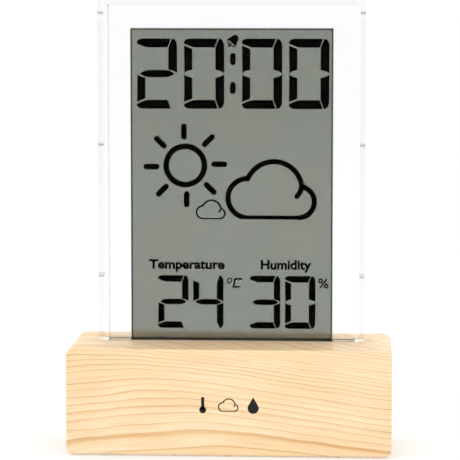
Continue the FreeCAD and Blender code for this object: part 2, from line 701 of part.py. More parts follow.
def board_parts():
    dome = "(blob_radius * blob_radius + blob_tall * blob_tall) / (2 * blob_tall)"
    ball = doc.addObject("Part::Sphere", "blob_ball")
    ball.setExpression("Radius", formula(dome))
    place(ball, "blob_x", "board_front - blob_tall + " + dome, "blob_z")
    reach = block("blob_reach", ("blob_x - blob_radius", "blob_x + blob_radius"),
                  ("board_front - 2 * blob_tall", "board_front"),
                  ("blob_z - blob_radius", "blob_z + blob_radius"))
    blob = doc.addObject("Part::Common", "chip_blob")
    blob.Base = ball
    blob.Tool = reach
    node(blob)
    node(rod("crystal", "X", ("crystal_x", "board_front - crystal_radius", "crystal_z"),
             "crystal_radius", "crystal_long"))
    node(rod("capacitor", "X", ("capacitor_x", "board_front - capacitor_radius", "capacitor_z"),
             "capacitor_radius", "capacitor_long"))
    chip = block("sensor_chip", ("sensor_x - sensor_wide / 2", "sensor_x + sensor_wide / 2"),
                 (BOARD_BACK, BOARD_BACK + " + sensor_tall"),
                 ("sensor_z - sensor_wide / 2", "sensor_z + sensor_wide / 2"))
    port = rod("sensor_port", "Y", ("sensor_x", BOARD_BACK + " + sensor_tall / 2", "sensor_z"),
               "sensor_port", "sensor_tall")
    node(cut("humidity_sensor", chip, [port]))
    can = rod("buzzer_can", "Y", ("sound_x", BOARD_BACK, "sound_z"), "buzzer_radius", "buzzer_tall")
    mouth = rod("buzzer_mouth", "Y", ("sound_x", BOARD_BACK + " + buzzer_tall / 2", "sound_z"),
                "buzzer_mouth", "buzzer_tall")
    node(cut("buzzer", can, [mouth]))


def tact_switches():
    switches = []
    for step in range(len(BUTTONS)):
        middle = "button_first + %d * button_pitch" % step
        case = block("switch_case", (middle + " - switch_wide / 2", middle + " + switch_wide / 2"),
                     (BOARD_BACK, SWITCH_BACK),
                     ("button_z - switch_wide / 2", "button_z + switch_wide / 2"))
        well = rod("switch_well", "Y", (middle, SWITCH_BACK + " - well_deep", "button_z"),
                   "plunger_radius + plunger_fit", "2 * well_deep")
        switches.append(cut("switch", case, [well]))
    return node(group("tact_switches", switches))


def button(name, step):
    """A cap with a flange that keeps it in, and the switch plunger that it pushes."""
    middle = "button_first + %d * button_pitch" % step
    body = slab(name + "_button", middle + " - cap_wide / 2", middle + " + cap_wide / 2",
                "button_z - cap_tall / 2", "button_z + cap_tall / 2", "flange_front",
                "cap_back - flange_front")
    soften(body, "cap_corner", along_depth)
    outer = size("cap_back") - 0.01
    soften(body, "cap_edge", lambda middle, direction: middle.y > outer)
    lip = "flange_lip"
    flange = rectangle(upright(body, "flange_front"), "%s - cap_wide / 2 - %s" % (middle, lip),
                       "%s + cap_wide / 2 + %s" % (middle, lip),
                       "button_z - cap_tall / 2 - " + lip, "button_z + cap_tall / 2 + " + lip)
    pad(body, flange, "flange_back - flange_front")
    stem = circle(upright(body, "stem_front"), middle, "button_z", "stem_radius")
    pad(body, stem, "flange_back - stem_front")
    node(body)
    node(rod(name + "_plunger", "Y", (middle, "plunger_front", "button_z"), "plunger_radius",
             "stem_front - plunger_front"))


def lead(label, points):
    """An insulated wire between a contact's tag and the board."""
    wire = doc.addObject("Part::Feature", label)
    wire.Shape, length, radii = round_wire(points, size("lead_radius"))
    area = math.pi * size("lead_radius") ** 2
    print("%s bend radii %s, volume %.3f of %.3f"
          % (label, ["%.2f" % radius for radius in radii], wire.Shape.Volume, area * length))
    return node(wire)


def leads():
    tag_y = (size("tag_front") + size("box_floor") - size("box_wall")) / 2
    tag_x = size("box_right")
    for label, level, end_level in (
            ("red_lead", size("cell_high"), size("cell_high") - size("red_fall")),
            ("black_lead", size("cell_low"), size("cell_low") + size("black_rise"))):
        lead(label, [Vector(tag_x, tag_y, level), Vector(tag_x + size("lead_out"), tag_y, level),
                     Vector(size("lead_x"), tag_y + size("lead_back"), end_level),
                     Vector(size("lead_x"), size("board_front"), end_level)])


# Screws

def screw(axis, at, head, shank, radius, head_radius, recess):
    """A pan-head screw along Y or Z with a cross recess; at gives its other two coordinates."""
    def spot(value):
        return (at[0], value, at[1]) if axis == "Y" else (at[0], at[1], value)

    def bar(long_way):
        reach = ["cross_wide / 2", "cross_wide / 2"]
        reach[long_way] = "cross_long / 2"
        first = ("%s - %s" % (at[0], reach[0]), "%s + %s" % (at[0], reach[0]))
        second = ("%s - %s" % (at[1], reach[1]), "%s + %s" % (at[1], reach[1]))
        ranges = (first, recess, second) if axis == "Y" else (first, second, recess)
        return block("screw_cross", *ranges)

    head_rod = rod("screw_head", axis, spot(head[0]), head_radius, "%s - (%s)" % (head[1], head[0]))
    shank_rod = rod("screw_shank", axis, spot(shank[0]), radius, "%s - (%s)" % (shank[1], shank[0]))
    return cut("screw", fuse("screw_blank", [head_rod, shank_rod]), [bar(0), bar(1)])


def screws():
    seat = COVER_OUT + " - sink_deep"
    cover = []
    for across in ("cover_screw_x", "-cover_screw_x"):
        for up in ("cover_screw_low", "cover_screw_high"):
            cover.append(screw("Y", (across, up), (seat, COVER_OUT), (seat + " - screw_long", seat),
                               "screw_radius", "head_radius",
                               (COVER_OUT + " - cross_deep", COVER_OUT + " + cross_deep")))
    node(group("cover_screws", cover))
    clamp = []
    for across in ("clamp_screw_x", "-clamp_screw_x"):
        head_low = CLAMP_BOTTOM + " - head_tall"
        clamp.append(screw("Z", (across, "clamp_screw_y"), (head_low, CLAMP_BOTTOM),
                           (CLAMP_BOTTOM, CLAMP_BOTTOM + " + short_screw"), "screw_radius",
                           "head_radius", (head_low + " - cross_deep", head_low + " + cross_deep")))
    node(group("clamp_screws", clamp))
    board = []
    for across, up in BOARD_SCREWS:
        head_low = "board_front - head_tall"
        board.append(screw("Y", (across, up), (head_low, "board_front"),
                           ("board_front", "board_front + short_screw"), "board_screw_radius",
                           "board_head", (head_low + " - cross_deep", head_low + " + cross_deep")))
    node(group("board_screws", board))


def write_parts():
    """Stops on any failed object or bad shape, and then writes one file for each sub-part."""
    doc.recompute()
    for item in doc.Objects:
        if "Invalid" in item.State or "Error" in item.State:
            raise RuntimeError("%s failed: %s" % (item.Label, item.State))
    for piece in nodes:
        if piece.Shape.isNull() or not piece.Shape.isValid():
            raise RuntimeError("%s has no valid shape" % piece.Label)
    os.makedirs("parts", exist_ok=True)
    for piece in nodes:
        piece.Shape.exportStep("parts/%s.step" % piece.Label)
        print("%-18s %2d solid(s) %10.2f mm3" % (piece.Label, len(piece.Shape.Solids),
                                                  piece.Shape.Volume))


base_shell()
display_clamp()
front_window()
rear_window()
display_stack()
lcd_cradle()
lcd_ribbon()
rear_cover()
battery_door()
batteries_and_contacts()
main_board()
board_parts()
tact_switches()
for place_in_row, button_name in enumerate(BUTTONS):
    button(button_name, place_in_row)
leads()
screws()
write_parts()
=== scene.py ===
"""Looks for a home weather station: materials, display graphics, printed marks, studio and camera.

Everything is in metres in the model's own frame. Flat artwork is drawn in millimetres, as
points (x, z) with x to the viewer's right and z up, and printed() turns it into thin pieces."""
import json
import math

import bmesh
import bpy
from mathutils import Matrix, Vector

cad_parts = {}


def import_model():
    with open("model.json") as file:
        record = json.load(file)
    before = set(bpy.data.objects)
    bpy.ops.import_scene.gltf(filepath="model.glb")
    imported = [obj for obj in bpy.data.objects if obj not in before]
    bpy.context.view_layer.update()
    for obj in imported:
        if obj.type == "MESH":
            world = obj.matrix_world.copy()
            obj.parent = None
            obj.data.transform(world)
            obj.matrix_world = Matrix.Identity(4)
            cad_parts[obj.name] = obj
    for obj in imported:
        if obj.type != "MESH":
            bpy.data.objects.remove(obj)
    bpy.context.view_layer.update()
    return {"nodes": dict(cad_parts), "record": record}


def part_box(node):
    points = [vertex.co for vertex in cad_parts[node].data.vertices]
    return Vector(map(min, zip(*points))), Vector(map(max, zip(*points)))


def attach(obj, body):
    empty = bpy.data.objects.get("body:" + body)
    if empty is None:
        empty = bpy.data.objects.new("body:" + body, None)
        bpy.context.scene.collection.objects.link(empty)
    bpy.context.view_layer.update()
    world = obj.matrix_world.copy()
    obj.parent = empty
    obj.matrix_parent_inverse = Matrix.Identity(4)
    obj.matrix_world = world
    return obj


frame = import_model()

MM = 0.001

BASE_LOW, BASE_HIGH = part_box("base_shell")
OUTER_SHELL_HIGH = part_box("front_window")[1]
INNER_SHELL_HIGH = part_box("rear_window")[1]
SHELL_WALL = 1.8
TAB_JOINT_FIRST, TAB_JOINT_PITCH = 58.9, 45.0
FILM_LOW, FILM_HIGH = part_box("front_polariser")
DOOR_LOW, DOOR_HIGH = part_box("battery_door")
BASE_TOP = BASE_HIGH.z / MM


# ------------------------------------------------------------------ outlines in millimetres


def mirrored(points, middle):
    """The outline turned upside down about the height middle."""
    return [(x, 2 * middle - z) for x, z in reversed(points)]


def moved(points, right=0.0, up=0.0, scale=1.0, tilt=0.0):
    """The outline scaled, then turned clockwise by tilt degrees, then shifted."""
    c, s = math.cos(math.radians(tilt)), math.sin(math.radians(tilt))
    return [(right + scale * (x * c + z * s), up + scale * (z * c - x * s)) for x, z in points]


def bend(start, corner, end, steps=6):
    """A quarter ellipse from start to end, touching the lines from each of them to corner."""
    points = []
    for i in range(steps + 1):
        turn = math.pi / 2 * i / steps
        from_start, from_end = 1 - math.sin(turn), 1 - math.cos(turn)
        points.append(tuple(
            corner[k] + (start[k] - corner[k]) * from_start + (end[k] - corner[k]) * from_end
            for k in range(2)))
    return points


def arc(centre, radius, start, end, squash=1.0):
    """Points on a circle from angle start to angle end, in degrees, or on an ellipse of that squash."""
    steps = max(3, math.ceil(abs(end - start) / 7.5))
    angles = [math.radians(start + (end - start) * i / steps) for i in range(steps + 1)]
    return [(centre[0] + radius * math.cos(a), centre[1] + radius * squash * math.sin(a)) for a in angles]


def stroke(path, width, closed=False, round_start=False, round_end=False):
    """Outlines that together draw a pen stroke along path: one quadrilateral a run, and round ends."""
    points = [Vector(p) for p in path]
    if closed and (points[0] - points[-1]).length < 1e-6:
        points.pop()
    count = len(points)
    edges = []
    for i, here in enumerate(points):
        before = points[i - 1] if closed or i else here
        after = points[(i + 1) % count] if closed or i < count - 1 else here
        into = (here - before).normalized() if here != before else (after - here).normalized()
        out = (after - here).normalized() if here != after else into
        normal = Vector((-(into + out).y, (into + out).x)).normalized()
        reach = width / 2 / max(0.5, normal.dot(Vector((-out.y, out.x))))
        edges.append((tuple(here + normal * reach), tuple(here - normal * reach)))
    runs = count if closed else count - 1
    shapes = [[edges[i][0], edges[i][1], edges[(i + 1) % count][1], edges[(i + 1) % count][0]]
              for i in range(runs)]
    if round_start:
        heading = points[0] - points[1]
        middle = math.degrees(math.atan2(heading.y, heading.x))
        shapes.append(arc(points[0], width / 2, middle - 90, middle + 90))
    if round_end:
        heading = points[-1] - points[-2]
        middle = math.degrees(math.atan2(heading.y, heading.x))
        shapes.append(arc(points[-1], width / 2, middle - 90, middle + 90))
    return shapes


# ------------------------------------------------------------------ display artwork


def segments(width, height, bar):
    """The seven segments of one display digit, by their usual letters, from its lower left corner."""
    w, h, t = width, height, bar
    middle = h / 2
    top = [*bend((0, h - 0.52 * t), (0, h), (0.67 * t, h)), (w - 0.73 * t, h),
           (w - 1.1 * t, h - t), (1.1 * t, h - t), (0.07 * t, h - 0.57 * t)]
    upper_right = [*bend((w - 0.58 * t, h), (w, h), (w, h - 0.9 * t)),
                   *bend((w, middle + 0.06 * t), (w - 0.4 * t, middle + 0.42 * t),
                         (w - t, middle + 0.45 * t)),
                   (w - t, h - 1.03 * t)]
    upper_left = [(0.03 * t, h - 0.78 * t), (0.97 * t, h - 1.17 * t),
                  *bend((0.97 * t, middle + 0.45 * t), (0.45 * t, middle + 0.42 * t),
                        (0.07 * t, middle + 0.08 * t))]
    bar_half = 0.42 * t
    crossbar = [*bend((0.37 * t, middle), (0.8 * t, middle + bar_half), (1.47 * t, middle + bar_half)),
                *bend((w - 1.33 * t, middle + bar_half), (w - 0.75 * t, middle + bar_half),
                      (w - 0.3 * t, middle))]
    return {"a": top, "b": upper_right, "f": upper_left,
            "c": mirrored(upper_right, middle), "d": mirrored(top, middle),
            "e": mirrored(upper_left, middle),
            "g": crossbar + mirrored(crossbar, middle)[1:-1]}


LIT = {"0": "abcdef", "2": "abged", "3": "abgcd", "4": "fgbc"}


def digit(figure, centre, foot, width, height, bar):
    """The lit segments of one figure, centred on x and standing on foot."""
    shapes = segments(width, height, bar)
    return [moved(shapes[letter], centre - width / 2, foot) for letter in LIT[figure]]


CLOCK = {"foot": BASE_TOP + 79.2, "width": 13.8, "height": 23.86, "bar": 3.0}
READING = {"foot": BASE_TOP + 3.62, "width": 10.5, "height": 18.28, "bar": 2.24}


def clock_time():
    """20:00 in large figures."""
    places = (("2", -25.10), ("0", -9.03), ("0", 10.75), ("0", 26.76))
    shapes = [outline for figure, x in places for outline in digit(figure, x, **CLOCK)]
    colon_x, colon_width = 0.83, 1.96
    for low, high in ((84.33, 88.35), (94.10, 98.20)):
        ends = [(colon_x, BASE_TOP + low + colon_width / 2), (colon_x, BASE_TOP + high - colon_width / 2)]
        shapes += stroke(ends, colon_width, round_start=True, round_end=True)
    return shapes


def readings():
    """24 and 30 in smaller figures."""
    places = (("2", -19.71), ("4", -7.67), ("3", 11.90), ("0", 23.95))
    return [outline for figure, x in places for outline in digit(figure, x, **READING)]


def bell(centre, size, tilt):
    """A handbell with an open mouth and a clapper; size is the width of its mouth."""
    half, pen = size / 2, 0.11 * size
    mouth_squash = 0.45
    waist = (-0.70 * half, 0.80 * half)
    left = [(-half, 0.0), *bend((-0.90 * half, 0.22 * half), (-0.72 * half, 0.40 * half), waist)]
    crown = [*bend(waist, (-0.68 * half, 1.55 * half), (0.0, 1.58 * half)),
             *bend((0.0, 1.58 * half), (0.68 * half, 1.55 * half), (-waist[0], waist[1]))]
    right = [(-x, z) for x, z in reversed(left)]
    mouth = arc((0, 0), half, 0, 180, mouth_squash)
    body = left + crown[1:-1] + right + mouth[1:-1]
    rim = stroke(arc((0, 0), half - pen / 2, 0, 360, mouth_squash), pen, closed=True)
    stem = stroke([(0, -0.05 * half), (0, -0.7 * half)], pen)
    clapper = arc((0, -0.72 * half), 0.19 * half, 0, 352.5, 1.2)
    return [moved(shape, *centre, tilt=tilt) for shape in (body, *rim, *stem, clapper)]


def sun(centre, ring_radius, ring_width, pen, ray_near, ray_far):
    """A ring with eight round-ended rays, each set a little to one side of its radius."""
    offset = 0.45
    shapes = stroke(arc((0, 0), ring_radius, 0, 360), ring_width, closed=True)
    for ray in range(8):
        line = [(ray_near, offset), (ray_far, offset)]
        shapes += [moved(shape, tilt=45 * ray) for shape in
                   stroke(line, pen, round_start=True, round_end=True)]
    return [moved(shape, *centre) for shape in shapes]


def cloud(left, foot, scale=1.0):
    """A cloud of four arcs on a flat foot. left and foot are its lower left corner."""
    pen, foot_pen = 1.8, 1.34
    left_lobe = stroke(arc((7.73, 7.38), 6.72, 260.3, 91.6), pen)
    crown = stroke(arc((16.71, 10.25), 9.68, 157.3, 13.9), pen, round_start=True)
    curl = stroke(arc((21.29, 11.64), 4.84, 11.0, -46.6), pen, round_end=True)
    right_lobe = stroke(arc((25.17, 6.14), 5.38, 73.6, -91.3), pen, round_start=True)
    base_line = stroke([(6.6, 0.76), (25.05, 0.76)], foot_pen)
    return [moved(shape, left, foot, scale)
            for shape in (*left_lobe, *crown, *curl, *right_lobe, *base_line)]


def weather_picture():
    """The sun, a large cloud and a small one."""
    cloud_foot = BASE_TOP + 41.29
    large_sun = sun((-15.47, BASE_TOP + 59.78), ring_radius=6.575, ring_width=1.93, pen=1.93,
                    ray_near=9.85, ray_far=13.4)
    return large_sun + cloud(-1.84, cloud_foot) + cloud(-11.96, cloud_foot, scale=0.329)


def degrees_celsius(left, foot, height):
    """A slanted degree ring and an open C."""
    lean, pen, drawn_height = 0.22, 0.62, 3.5
    ring = [(0.1, 1.8), (1.5, 1.8), (1.5, 3.3), (0.1, 3.3)]
    letter = [(5.0, 2.95), (5.0, 3.2), (2.7, 3.2), (2.7, 0.3), (4.9, 0.3), (4.9, 0.6)]
    shapes = stroke(ring, pen * 0.6, closed=True) + stroke(letter, pen)
    fitted = height / drawn_height
    return [[(left + fitted * (x + lean * z), foot + fitted * z) for x, z in shape] for shape in shapes]


def thermometer(centre, height):
    """A bulb under a round-ended tube."""
    bulb, tube = 0.21 * height, 0.19 * height
    foot = (centre[0], centre[1] - height / 2 + bulb)
    top = (centre[0], centre[1] + height / 2 - tube / 2)
    return [arc(foot, bulb, 0, 352.5), *stroke([foot, top], tube, round_end=True)]


def drop(centre, height):
    """A drop whose sides run straight from the tip to a round foot."""
    radius = height / 3
    middle = (centre[0], centre[1] - height / 2 + radius)
    return [[*arc(middle, radius, 150, 390), (centre[0], centre[1] + height / 2)]]


def triangle(centre, width, height):
    """Points up, or down if the height is negative."""
    x, z = centre
    return [[(x - width / 2, z - height / 2), (x + width / 2, z - height / 2), (x, z + height / 2)]]


def clock_face(centre, radius, pen):
    """A ring with two hands."""
    x, z = centre
    hands = [(x, z + 0.62 * radius), (x, z), (x - 0.5 * radius, z)]
    return stroke(arc(centre, radius, 0, 360), pen, closed=True) + stroke(hands, pen)


def percent(left, foot, width, height):
    """Two small rings and a slanted stroke."""
    ring, pen = 0.17 * height, 0.15 * height
    shapes = stroke(arc((0.24 * width, 0.76 * height), ring, 0, 360), pen, closed=True)
    shapes += stroke(arc((0.76 * width, 0.24 * height), ring, 0, 360), pen, closed=True)
    shapes += stroke([(0.16 * width, 0.02 * height), (0.84 * width, 0.98 * height)], pen)
    return [moved(shape, left, foot) for shape in shapes]


# ------------------------------------------------------------------ thin printed pieces


def printed(name, shapes, front, thickness, body, material, facing=-1):
    """A thin flat piece whose printed side looks towards facing on Y; front and thickness are in metres."""
    mesh = bmesh.new()
    for outline in shapes:
        mesh.faces.new([mesh.verts.new((x * MM, front, z * MM)) for x, z in outline])
    bmesh.ops.remove_doubles(mesh, verts=mesh.verts, dist=0.002 * MM)
    for face in mesh.faces:
        if face.normal.y * facing < 0:
            face.normal_flip()
    data = bpy.data.meshes.new(name)
    mesh.to_mesh(data)
    mesh.free()
    piece = bpy.data.objects.new(name, data)
    bpy.context.scene.collection.objects.link(piece)
    solid = piece.modifiers.new("thickness", "SOLIDIFY")
    solid.thickness = thickness
    solid.offset = -1.0
    data.materials.append(material)
    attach(piece, body)


def word_shapes(word, left, right, foot, capital_height, weight=0.035):
    """Outlines of a word in the built-in typeface, fitted between left and right.

    weight makes every stroke bolder, as a part of the typeface's own size."""
    text = bpy.data.curves.new(word, "FONT")
    text.body = word
    text.offset = weight
    text.resolution_u = 6
    holder = bpy.data.objects.new(word, text)
    bpy.context.scene.collection.objects.link(holder)
    bpy.context.view_layer.update()
    mesh = bpy.data.meshes.new_from_object(holder.evaluated_get(bpy.context.evaluated_depsgraph_get()))
    points = [(v.co.x, v.co.y) for v in mesh.vertices]
    shapes = [[points[i] for i in face.vertices] for face in mesh.polygons]
    bpy.data.objects.remove(holder)
    bpy.data.curves.remove(text)
    bpy.data.meshes.remove(mesh)
    low_x, high_x = min(x for x, _ in points), max(x for x, _ in points)
    across = (right - left) / (high_x - low_x)
    up = capital_height / (max(z for _, z in points) - weight)
    return [[(left + (x - low_x) * across, foot + z * up) for x, z in shape] for shape in shapes]


# ------------------------------------------------------------------ materials


class Pattern:
    """Short calls that add nodes to a node tree."""

    def __init__(self, tree):
        self.nodes = tree.nodes
        self.links = tree.links

    def feed(self, socket, value):
        """Links a node's output to the socket, or writes a plain value to it."""
        if isinstance(value, bpy.types.NodeSocket):
            self.links.new(value, socket)
        else:
            socket.default_value = value

    def coordinate(self, name):
        return self.nodes.new("ShaderNodeTexCoord").outputs[name]

    def split(self, vector):
        node = self.nodes.new("ShaderNodeSeparateXYZ")
        self.feed(node.inputs[0], vector)
        return node.outputs

    def join(self, x, y, z):
        node = self.nodes.new("ShaderNodeCombineXYZ")
        for socket, value in zip(node.inputs, (x, y, z)):
            self.feed(socket, value)
        return node.outputs[0]

    def math(self, operation, *values):
        node = self.nodes.new("ShaderNodeMath")
        node.operation = operation
        for socket, value in zip(node.inputs, values):
            self.feed(socket, value)
        return node.outputs[0]

    def add(self, a, b):
        return self.math("ADD", a, b)

    def times(self, a, b):
        return self.math("MULTIPLY", a, b)

    def scaled(self, vector, x, y, z):
        """The vector with each part multiplied."""
        node = self.nodes.new("ShaderNodeVectorMath")
        node.operation = "MULTIPLY"
        self.feed(node.inputs[0], vector)
        node.inputs[1].default_value = (x, y, z)
        return node.outputs[0]

    def noise(self, vector, scale=1.0, detail=2.0, roughness=0.5):
        node = self.nodes.new("ShaderNodeTexNoise")
        self.feed(node.inputs["Vector"], vector)
        node.inputs["Scale"].default_value = scale
        node.inputs["Detail"].default_value = detail
        node.inputs["Roughness"].default_value = roughness
        return node.outputs["Fac"]

    def square_cells(self, vector, scale):
        """Distance to the nearest of many scattered points, measured so that its contours are square."""
        node = self.nodes.new("ShaderNodeTexVoronoi")
        node.distance = "CHEBYCHEV"
        self.feed(node.inputs["Vector"], vector)
        node.inputs["Scale"].default_value = scale
        return node.outputs["Distance"]

    def spread(self, value, low, high, out_low=0.0, out_high=1.0, smooth=False):
        """Maps low..high to out_low..out_high, and holds the ends."""
        node = self.nodes.new("ShaderNodeMapRange")
        node.interpolation_type = "SMOOTHSTEP" if smooth else "LINEAR"
        for socket, number in zip(node.inputs, (value, low, high, out_low, out_high)):
            self.feed(socket, number)
        return node.outputs[0]

    def mix(self, factor, a, b):
        node = self.nodes.new("ShaderNodeMix")
        node.data_type = "RGBA"
        self.feed(node.inputs[0], factor)
        for socket, colour in ((node.inputs[6], a), (node.inputs[7], b)):
            self.feed(socket, colour if isinstance(colour, bpy.types.NodeSocket) else (*colour, 1.0))
        return node.outputs[2]


class Look(Pattern):
    """A material's Principled shader and the pattern that drives it."""

    def __init__(self, name, colour, roughness, **values):
        self.material = bpy.data.materials.new(name)
        self.material.use_nodes = True
        super().__init__(self.material.node_tree)
        self.shader = self.nodes["Principled BSDF"]
        self.set("Base Color", (*colour, 1.0))
        self.set("Roughness", roughness)
        for socket, value in values.items():
            self.set(socket.replace("_", " "), value)

    def set(self, name, value):
        self.feed(self.shader.inputs[name], value)

    def place(self):
        """The point's place in the frame, in millimetres."""
        node = self.nodes.new("ShaderNodeVectorMath")
        node.operation = "SCALE"
        self.feed(node.inputs[0], self.coordinate("Object"))
        node.inputs["Scale"].default_value = 1 / MM
        return node.outputs[0]

    def bump(self, height, depth):
        """Bumps the surface by height, whose full range stands for depth in millimetres."""
        node = self.nodes.new("ShaderNodeBump")
        node.inputs["Distance"].default_value = depth * MM
        self.feed(node.inputs["Height"], height)
        self.set("Normal", node.outputs[0])


def pine_film():
    """Pine grain: rings of one three-dimensional field, so that the faces agree at the edges."""
    look = Look("pine_film", (0.9, 0.6, 0.32), 0.45, Coat_Weight=0.08, Coat_Roughness=0.2,
                Specular_IOR_Level=0.3)
    place = look.place()
    x, y, z = look.split(place)
    # Each ring is a long arch that falls away on both sides of a slanting crest.
    crest_slant, crest_side, arch_radius, arch_fall = 1.35, 7.6, 12.0, 0.125
    beside_crest = look.add(look.add(x, look.times(z, crest_slant)), -crest_side)
    arch = look.math("SQRT", look.add(look.times(beside_crest, beside_crest), arch_radius ** 2))
    level = look.add(z, look.times(look.add(arch, -arch_radius), arch_fall))
    level = look.add(level, look.add(look.times(x, 0.025), look.times(y, 0.12)))
    slow = look.noise(look.scaled(place, 0.018, 0.018, 0.05), 1.0, 2.0)
    quick = look.noise(look.scaled(place, 0.07, 0.07, 0.2), 1.0, 2.0)
    level = look.add(level, look.times(look.add(slow, -0.5), 3.2))
    level = look.add(level, look.times(look.add(quick, -0.5), 0.7))
    # Rings are wide near the foot and narrow higher up.
    ring = look.times(level, look.add(look.times(level, 0.0076), 0.182))
    ring = look.add(ring, look.times(look.noise(look.join(0.0, 0.0, ring), 0.9, 1.0), 1.3))
    part = look.math("FRACT", ring)
    number = look.math("FLOOR", ring)
    strength = look.spread(look.noise(look.join(number, 3.7, 0.0), 7.3, 0.0), 0.35, 0.65, 0.45, 1.0)
    fade = look.spread(look.noise(look.scaled(place, 0.03, 0.03, 0.12), 1.0, 1.0), 0.35, 0.6, 0.5, 1.0)
    line = look.times(look.spread(part, 0.80, 0.93, smooth=True),
                      look.spread(part, 0.955, 1.0, 1.0, 0.0, smooth=True))
    line = look.times(look.times(line, strength), fade)
    late = look.times(look.math("POWER", part, 2.2), strength)
    along_fibres = look.join(look.times(x, 0.05), look.times(y, 0.4), look.times(level, 3.2))
    fibre = look.noise(along_fibres, 1.0, 4.0, 0.6)
    tone = look.noise(look.scaled(place, 0.03, 0.03, 0.1), 1.0, 1.0)
    pale, straw, warm = (0.97, 0.79, 0.54), (0.95, 0.72, 0.44), (0.93, 0.62, 0.31)
    line_brown, fibre_brown = (0.60, 0.32, 0.12), (0.82, 0.51, 0.25)
    colour = look.mix(look.spread(tone, 0.35, 0.65), pale, straw)
    colour = look.mix(late, colour, warm)
    colour = look.mix(look.times(line, 0.9), colour, line_brown)
    colour = look.mix(look.spread(fibre, 0.45, 0.65, 0.0, 0.5), colour, fibre_brown)
    look.set("Base Color", colour)
    look.set("Roughness", look.spread(fibre, 0.3, 0.7, 0.40, 0.50))
    look.bump(look.add(look.times(fibre, 0.5), look.times(line, -0.5)), 0.02)
    return look.material


def moulded(name, colour, roughness, grain=0.35, depth=0.02, mottle=0.03):
    """Moulded plastic with a fine spark-eroded texture and a slight unevenness of tone.

    grain and depth are the texture's sizes in millimetres."""
    look = Look(name, colour, roughness)
    place = look.place()
    texture = look.noise(place, 1 / grain, 3.0, 0.6)
    patches = look.noise(place, 0.08, 2.0)
    darker = tuple(c * (1 - 4 * mottle) for c in colour)
    look.set("Base Color", look.mix(look.spread(patches, 0.3, 0.7), colour, darker))
    look.set("Roughness", look.spread(texture, 0.3, 0.7, roughness - 0.06, roughness + 0.06))
    look.bump(texture, depth)
    return look.material


def clear_plastic(name, ior, outer_corner, painted_wall_shade, painted_tab_shade):
    """Polished clear plastic. Walls and tab joints are seen edge-on; painted shade and reflection make them
    greyer than a pane.
    """
    pane_tint, painted_wood_reflection = (0.985, 0.988, 0.988), (0.90, 0.76, 0.58)
    look = Look(name, pane_tint, 0.0, Transmission_Weight=1.0, IOR=ior)
    place = look.place()
    x, _, z = look.split(place)
    beyond_side = look.add(look.math("ABSOLUTE", x), -outer_corner.x / MM)
    beyond_top = look.add(z, -outer_corner.z / MM)
    outward = look.math("MAXIMUM", beyond_side, beyond_top)
    in_wall = look.spread(outward, -SHELL_WALL - 0.05, -SHELL_WALL + 0.05)
    from_tab = look.math("PINGPONG", look.add(z, -TAB_JOINT_FIRST), TAB_JOINT_PITCH / 2)
    at_tab = look.spread(from_tab, 0.15, 0.35, 1.0, 0.0)
    # Painted reflection: the foot of a wall is painted in the colour of the wood under it.
    at_foot = look.spread(z, BASE_TOP, BASE_TOP + 2.5, 1.0, 0.0)
    wall = look.mix(at_foot, look.mix(at_tab, painted_wall_shade, painted_tab_shade), painted_wood_reflection)
    look.set("Base Color", look.mix(in_wall, pane_tint, wall))
    look.bump(look.noise(place, 0.07, 1.0), 0.006)
    return look.material


def lcd_glass():
    """Thin float glass, almost flat."""
    look = Look("lcd_glass", (0.99, 0.995, 0.99), 0.0, Transmission_Weight=1.0, IOR=1.5)
    look.bump(look.noise(look.place(), 0.05, 1.0), 0.002)
    return look.material


def polariser():
    """Grey-green film, a little unevenly tinted."""
    look = Look("polariser", (0.5, 0.52, 0.48), 0.0, Transmission_Weight=1.0, IOR=1.5)
    place = look.place()
    tint = look.spread(look.noise(place, 0.03, 2.0), 0.3, 0.7)
    look.set("Base Color", look.mix(tint, (0.472, 0.492, 0.462), (0.478, 0.488, 0.445)))
    return look.material


def edge_band():
    """Sealed edge of the display: pale grey on the outside, black beside the films and at the foot."""
    look = Look("edge_band", (0.5, 0.5, 0.5), 0.5)
    place = look.place()
    x, _, z = look.split(place)
    beyond_side = look.add(look.math("ABSOLUTE", x), -FILM_HIGH.x / MM)
    beyond_top = look.add(z, -FILM_HIGH.z / MM)
    outward = look.math("MAXIMUM", beyond_side, beyond_top)
    above_foot = look.math("GREATER_THAN", z, FILM_LOW.z / MM)
    pale_outside = look.times(look.spread(outward, 0.46, 0.52), above_foot)
    grain = look.noise(place, 3.0, 2.0)
    pale = look.mix(grain, (0.60, 0.60, 0.57), (0.70, 0.70, 0.67))
    look.set("Base Color", look.mix(pale_outside, (0.02, 0.019, 0.014), pale))
    look.bump(grain, 0.01)
    return look.material


def steel():
    """Nickel-plated steel with fine drawn lines."""
    look = Look("steel", (0.72, 0.72, 0.70), 0.28, Metallic=1.0)
    lines = look.noise(look.scaled(look.place(), 1.5, 14.0, 14.0), 1.0, 3.0, 0.6)
    look.set("Roughness", look.spread(lines, 0.3, 0.7, 0.20, 0.38))
    look.bump(lines, 0.004)
    return look.material


def circuit_board():
    """Green solder mask over square-cornered copper tracks."""
    look = Look("circuit_board", (0.02, 0.16, 0.06), 0.3, Coat_Weight=0.3)
    place = look.place()
    tracks = look.square_cells(place, 0.45)
    edges = look.spread(look.math("PINGPONG", look.times(tracks, 3.0), 0.5), 0.30, 0.36)
    look.set("Base Color", look.mix(edges, (0.015, 0.13, 0.05), (0.05, 0.25, 0.10)))
    look.bump(edges, 0.02)
    return look.material


def ribbon_film():
    """Amber film with dark printed conductors side by side across its width."""
    look = Look("ribbon_film", (0.4, 0.25, 0.08), 0.35)
    x, _, _ = look.split(look.place())
    stripes = look.spread(look.math("PINGPONG", x, 0.5), 0.22, 0.28)
    look.set("Base Color", look.mix(stripes, (0.42, 0.26, 0.09), (0.05, 0.045, 0.04)))
    look.bump(stripes, 0.01)
    return look.material


